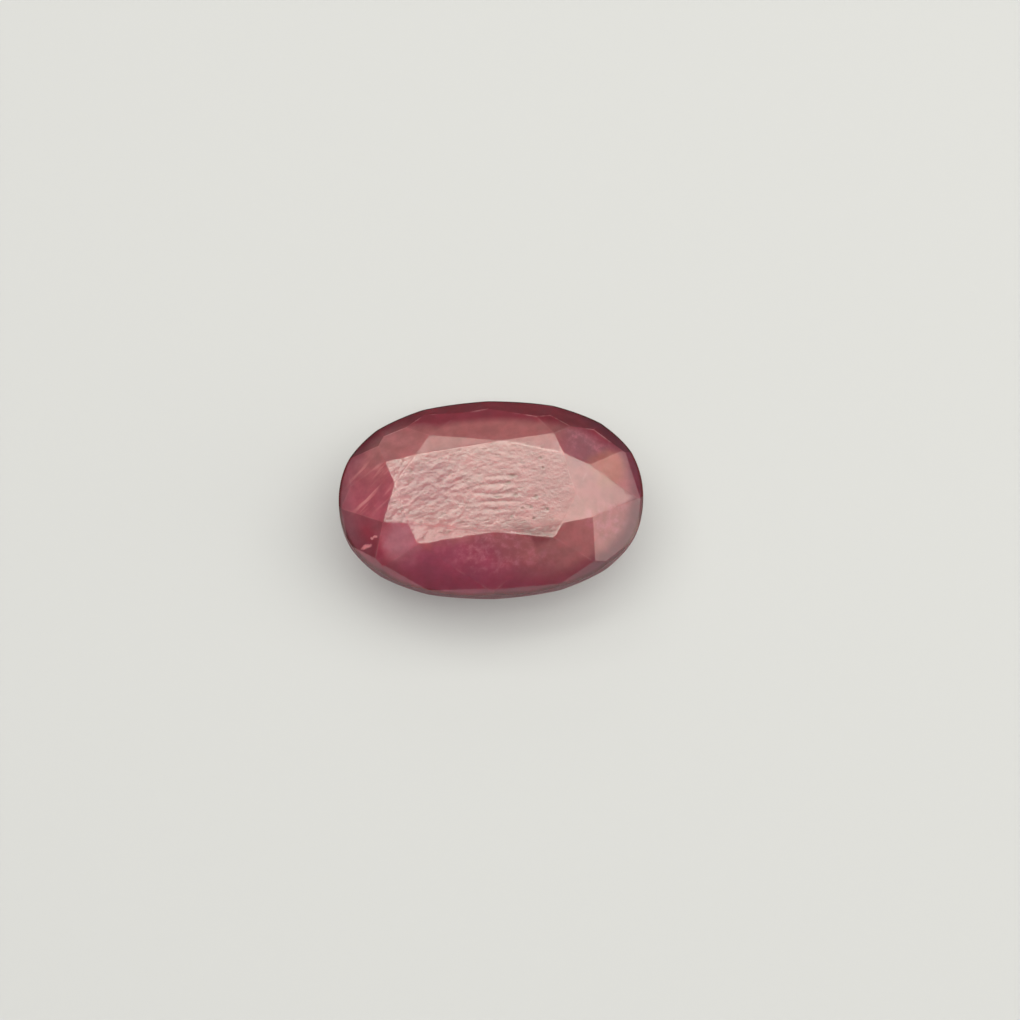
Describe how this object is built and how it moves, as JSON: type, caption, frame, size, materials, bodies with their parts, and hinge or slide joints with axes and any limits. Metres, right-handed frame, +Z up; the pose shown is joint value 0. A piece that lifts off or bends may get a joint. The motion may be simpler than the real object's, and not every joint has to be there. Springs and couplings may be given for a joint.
{
  "type": "oval faceted ruby gemstone",
  "caption": "Oval hand-cut ruby with a brilliant crown round a broad table, a plain girdle band and a stepped pavilion that ends in a flat culet to stand on.",
  "frame": {"origin": "middle of the culet, the flat face that the stone stands on", "axes": "+Z up through the table, +X along the stone's length, +Y across it"},
  "size_m": [0.0126, 0.0082, 0.0047],
  "materials": {
    "ruby": "polished facets with fine polish lines, frosted girdle"
  },
  "bodies": {
    "root": {"ruby": "ruby"}
  },
  "joints": []
}
